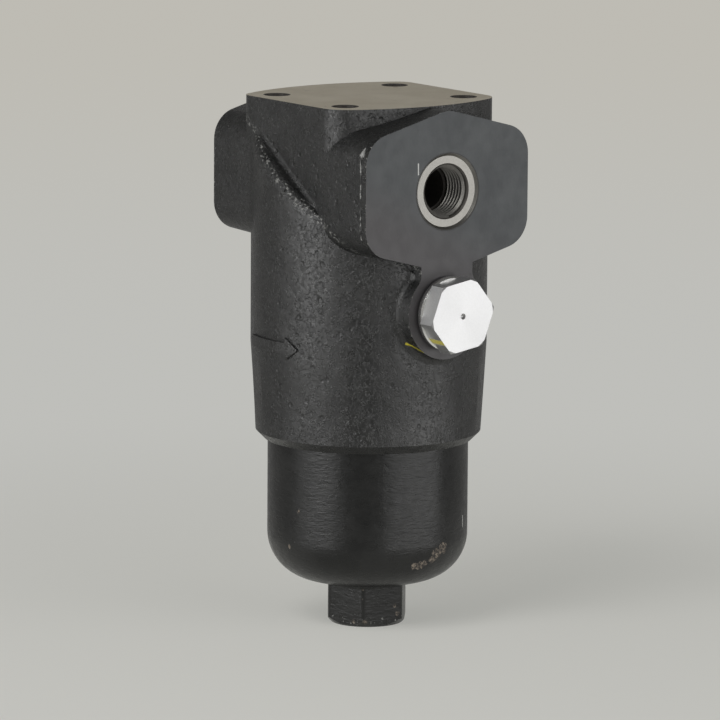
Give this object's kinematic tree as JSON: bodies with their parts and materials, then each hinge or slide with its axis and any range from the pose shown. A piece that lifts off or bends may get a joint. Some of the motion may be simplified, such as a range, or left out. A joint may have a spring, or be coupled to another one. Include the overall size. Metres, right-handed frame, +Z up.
{
  "type": "hydraulic filter",
  "caption": "High pressure inline filter: cast head with opposed threaded ports and a bolting face, screwed steel bowl with hex nose, pleated element, bypass valve and indicator plug.",
  "frame": {"origin": "centre of the flat end of the bowl's hex nose, on the filter's axis", "axes": "+Z up the axis towards the bolting face, +X out of the outlet port, on the indicator plug's side"},
  "size_m": [0.1138, 0.0942, 0.212],
  "materials": {
    "head_paint": "satin black paint on rough iron casting",
    "bowl_paint": "satin black paint on turned steel",
    "seal_rubber": "matt",
    "backup_plastic": "white waxy plastic",
    "turned_steel": "turned",
    "plated_sheet": "tin plated sheet",
    "spring_steel": "drawn wire",
    "filter_media": "pleated glass fibre paper",
    "plug_steel": "bright zinc plated, turned"
  },
  "bodies": {
    "head": {"head_casting": "head_paint", "outlet_spigot": "turned_steel", "spigot_oring": "seal_rubber"},
    "element": {"element_top_cap": "plated_sheet", "element_oring": "seal_rubber", "element_core": "plated_sheet", "element_pleats": "filter_media", "element_sleeve": "plated_sheet", "element_bottom_cap": "plated_sheet", "bypass_cage": "turned_steel", "cage_ring": "spring_steel", "bypass_spring": "spring_steel", "support_spring": "spring_steel", "spring_seat": "plated_sheet"},
    "bowl": {"bowl": "bowl_paint", "bowl_oring": "seal_rubber", "bowl_backup_ring": "backup_plastic"},
    "poppet": {"bypass_poppet": "turned_steel", "bypass_seal": "seal_rubber"},
    "plug_seal": {"plug_seal": "seal_rubber"},
    "plug": {"indicator_plug": "plug_steel"}
  },
  "joints": [
    {"name": "element_draw", "type": "slide", "parent": "head", "child": "element", "axis": [0, 0, 1], "range_m": [-0.012, 0]},
    {"name": "bowl_turn", "type": "hinge", "parent": "element", "child": "bowl", "pos_m": [0, 0, 0.09], "axis": [0, 0, 1], "range_deg": [-2160, 0]},
    {"name": "bypass_lift", "type": "slide", "parent": "element", "child": "poppet", "axis": [0, 0, 1], "range_m": [0, 0.004], "stiffness_N_per_m": 6000, "springref_m": -0.008, "deforming": ["bypass_spring"]},
    {"name": "plug_draw", "type": "slide", "parent": "head", "child": "plug_seal", "axis": [1, 0, 0], "range_m": [0, 0.0075]},
    {"name": "plug_turn", "type": "hinge", "parent": "plug_seal", "child": "plug", "pos_m": [0.0515, 0, 0.1315], "axis": [1, 0, 0], "range_deg": [0, 1800]}
  ],
  "couplings": [
    {"joint": "element_draw", "follows": "bowl_turn", "m_per_rad": 0.0003183},
    {"joint": "plug_draw", "follows": "plug_turn", "m_per_rad": 0.00023873}
  ]
}
